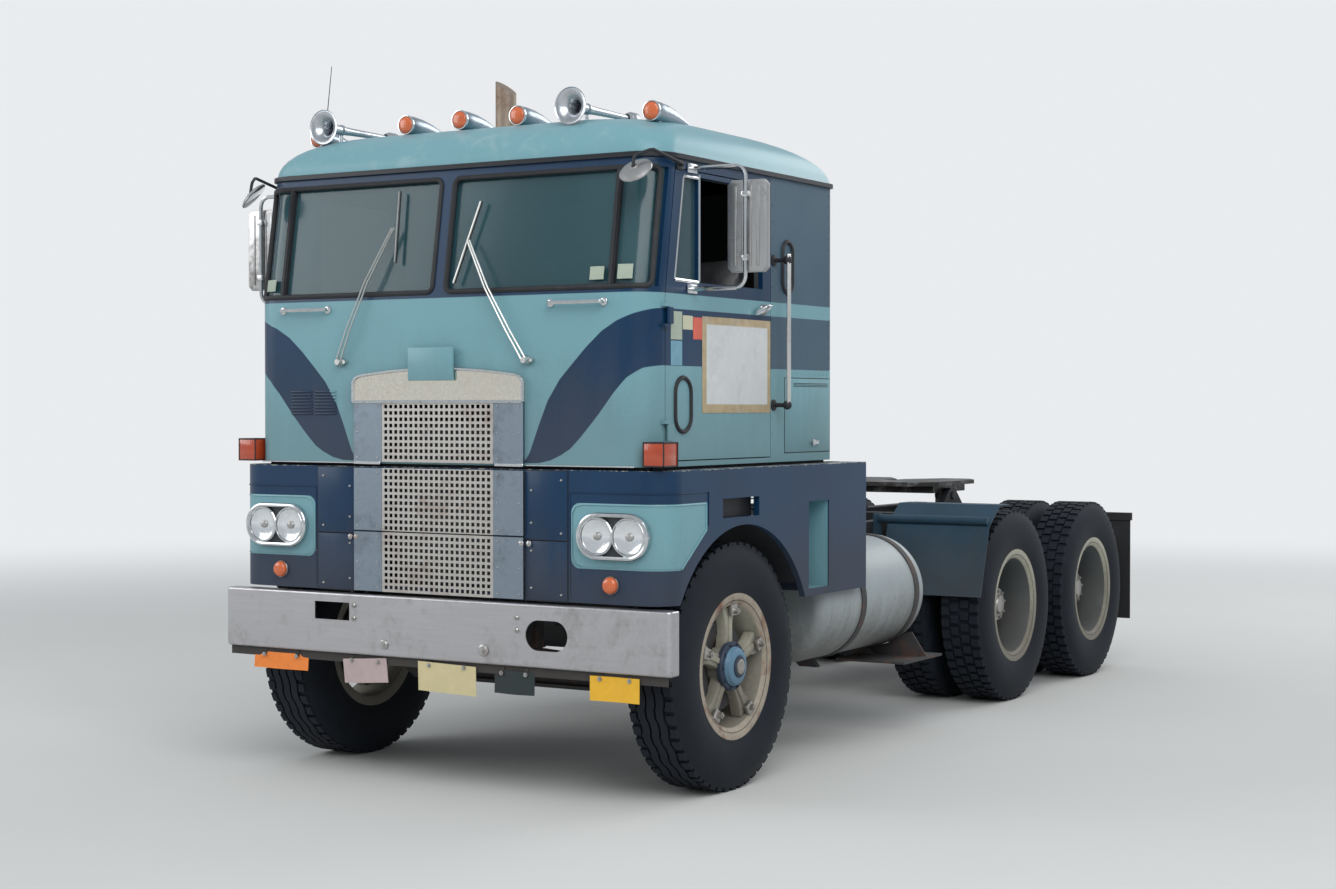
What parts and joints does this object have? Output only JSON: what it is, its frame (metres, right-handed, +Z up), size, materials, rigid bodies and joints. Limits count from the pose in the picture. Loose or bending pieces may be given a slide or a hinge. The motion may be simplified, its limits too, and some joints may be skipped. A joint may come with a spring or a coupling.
{
  "type": "cab-over semi truck tractor unit",
  "caption": "Three-axle cab-over road tractor with tilting sleeper cab, opening doors, steered front wheels, dual drive wheels and a tilting fifth wheel.",
  "frame": {"origin": "on the ground, at mid width and mid length of the tractor", "axes": "+Z up, front towards -Y, +X towards the driver's left hand"},
  "size_m": [2.89, 6.195, 3.4543],
  "materials": {
    "body_light_blue": "weathered gloss",
    "body_navy": "weathered gloss",
    "frame_black": "dusty satin",
    "cast_dark": "rough, oily",
    "bright_steel": "worn, brushed",
    "chrome_trim": "polished",
    "grille_aluminium": "satin",
    "tank_paint": "dull white",
    "wheel_cream": "rusty cream",
    "tyre_rubber": "dusty black",
    "flap_rubber": "matt",
    "window_glass": "clear, green tint",
    "lamp_amber": "ribbed",
    "lamp_clear": "lamp reflector and lens",
    "mirror_steel": "dull bright steel",
    "seat_vinyl": "vinyl",
    "trim_black": "matt",
    "rust_pipe": "heat-stained"
  },
  "bodies": {
    "root": {"frame_rails": "frame_black", "crossmembers": "frame_black", "cab_supports": "frame_black", "front_axle": "cast_dark", "leaf_springs": "frame_black", "drive_axles": "cast_dark", "drive_shafts": "frame_black", "engine_block": "cast_dark", "front_bumper": "bright_steel", "bumper_bar": "frame_black", "front_apron": "body_navy", "fenders": "body_navy", "lower_grille": "grille_aluminium", "headlamps": "lamp_clear", "small_lamps": "lamp_amber", "fuel_tanks": "tank_paint", "tank_brackets": "frame_black", "quarter_fenders": "frame_black", "exhaust_stack": "rust_pipe", "deck_plate": "frame_black", "fifth_wheel_base": "frame_black", "mud_flaps": "flap_rubber"},
    "cab": {"cab_front": "body_light_blue", "cab_sides": "body_light_blue", "cab_back": "body_light_blue", "cab_roof": "body_light_blue", "cab_floor": "trim_black", "windshield_glass": "window_glass", "upper_grille": "grille_aluminium", "marker_lamps": "lamp_amber", "air_horns": "chrome_trim", "wipers": "chrome_trim", "grab_rails": "chrome_trim", "spot_mirrors": "mirror_steel", "seats": "seat_vinyl", "dash": "trim_black"},
    "door_left": {"door_left": "body_light_blue", "door_glass_left": "window_glass", "mirror_left": "mirror_steel"},
    "door_right": {"door_right": "body_light_blue", "door_glass_right": "window_glass", "mirror_right": "mirror_steel"},
    "knuckle_left": {"knuckle_left": "cast_dark"},
    "knuckle_right": {"knuckle_right": "cast_dark"},
    "tie_rod": {"tie_rod": "frame_black"},
    "wheel_front_left": {"wheel_front_left": "wheel_cream", "tyre_front_left": "tyre_rubber"},
    "wheel_front_right": {"wheel_front_right": "wheel_cream", "tyre_front_right": "tyre_rubber"},
    "fifth_wheel": {"fifth_wheel_plate": "cast_dark"},
    "wheel_mid_left": {"wheel_mid_left": "wheel_cream", "tyres_mid_left": "tyre_rubber"},
    "wheel_mid_right": {"wheel_mid_right": "wheel_cream", "tyres_mid_right": "tyre_rubber"},
    "wheel_rear_left": {"wheel_rear_left": "wheel_cream", "tyres_rear_left": "tyre_rubber"},
    "wheel_rear_right": {"wheel_rear_right": "wheel_cream", "tyres_rear_right": "tyre_rubber"}
  },
  "joints": [
    {"name": "cab_tilt", "type": "hinge", "parent": "root", "child": "cab", "pos_m": [0, -2.9525, 1.02], "axis": [1, 0, 0], "range_deg": [0, 45]},
    {"name": "door_left_swing", "type": "hinge", "parent": "cab", "child": "door_left", "pos_m": [1.099, -2.8845, 1.8], "axis": [0, 0, -1], "range_deg": [0, 70]},
    {"name": "door_right_swing", "type": "hinge", "parent": "cab", "child": "door_right", "pos_m": [-1.099, -2.8845, 1.8], "axis": [0, 0, 1], "range_deg": [0, 70]},
    {"name": "steer_left", "type": "hinge", "parent": "root", "child": "knuckle_left", "pos_m": [0.84, -2.3625, 0.55], "axis": [0, 0, 1], "range_deg": [-28, 28]},
    {"name": "steer_right", "type": "hinge", "parent": "root", "child": "knuckle_right", "pos_m": [-0.84, -2.3625, 0.55], "axis": [0, 0, 1], "range_deg": [-28, 28]},
    {"name": "tie_rod_pivot", "type": "hinge", "parent": "knuckle_left", "child": "tie_rod", "pos_m": [0.84, -2.1625, 0.442], "axis": [0, 0, 1], "range_deg": [-28, 28]},
    {"name": "spin_front_left", "type": "hinge", "parent": "knuckle_left", "child": "wheel_front_left", "pos_m": [1.015, -2.3625, 0.55], "axis": [1, 0, 0], "continuous": true},
    {"name": "spin_front_right", "type": "hinge", "parent": "knuckle_right", "child": "wheel_front_right", "pos_m": [-1.015, -2.3625, 0.55], "axis": [1, 0, 0], "continuous": true},
    {"name": "fifth_wheel_tilt", "type": "hinge", "parent": "root", "child": "fifth_wheel", "pos_m": [0, 1.6725, 1.15], "axis": [1, 0, 0], "range_deg": [-12, 12]},
    {"name": "spin_mid_left", "type": "hinge", "parent": "root", "child": "wheel_mid_left", "pos_m": [0.8175, 1.0195, 0.55], "axis": [1, 0, 0], "continuous": true},
    {"name": "spin_mid_right", "type": "hinge", "parent": "root", "child": "wheel_mid_right", "pos_m": [-0.8175, 1.0195, 0.55], "axis": [1, 0, 0], "continuous": true},
    {"name": "spin_rear_left", "type": "hinge", "parent": "root", "child": "wheel_rear_left", "pos_m": [0.8175, 2.3255, 0.55], "axis": [1, 0, 0], "continuous": true},
    {"name": "spin_rear_right", "type": "hinge", "parent": "root", "child": "wheel_rear_right", "pos_m": [-0.8175, 2.3255, 0.55], "axis": [1, 0, 0], "continuous": true}
  ],
  "couplings": [
    {"joint": "steer_right", "follows": "steer_left", "ratio": 1},
    {"joint": "tie_rod_pivot", "follows": "steer_left", "ratio": -1}
  ]
}
